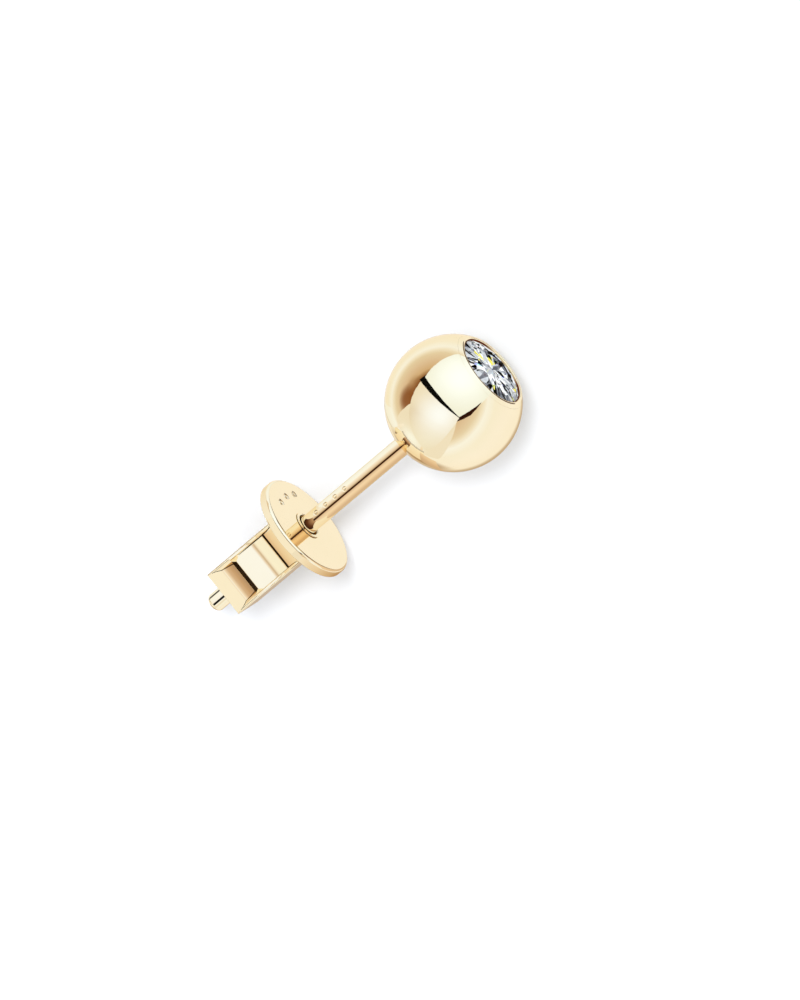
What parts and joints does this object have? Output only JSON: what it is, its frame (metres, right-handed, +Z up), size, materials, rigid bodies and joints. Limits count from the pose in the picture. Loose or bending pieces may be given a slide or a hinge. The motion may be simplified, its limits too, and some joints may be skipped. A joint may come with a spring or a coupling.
{
  "type": "diamond stud earring",
  "caption": "Polished gold ball stud with a flush-set round brilliant, a straight post and a push-on clutch that slides on the post.",
  "frame": {"origin": "middle of the resting part's box, on the surface that it lies on", "axes": "+X along the stud from the clutch's end towards the diamond, +Z up; the post's axis rises 3.1 degrees towards the ball"},
  "size_m": [0.0176, 0.006, 0.006],
  "materials": {
    "polished_gold": "mirror-polished pale yellow gold",
    "clutch_gold": "bright-polished pale yellow gold",
    "diamond": "clear, polished facets"
  },
  "bodies": {
    "stud": {"ball_and_post": "polished_gold", "bezel_ring": "polished_gold", "diamond": "diamond"},
    "clutch": {"clutch_disc": "clutch_gold", "clutch_grip": "clutch_gold"}
  },
  "joints": [
    {"name": "clutch_slide", "type": "slide", "parent": "stud", "child": "clutch", "axis": [0.9986, 0, 0.0535], "range_m": [-0.0057, 0.0059]}
  ]
}
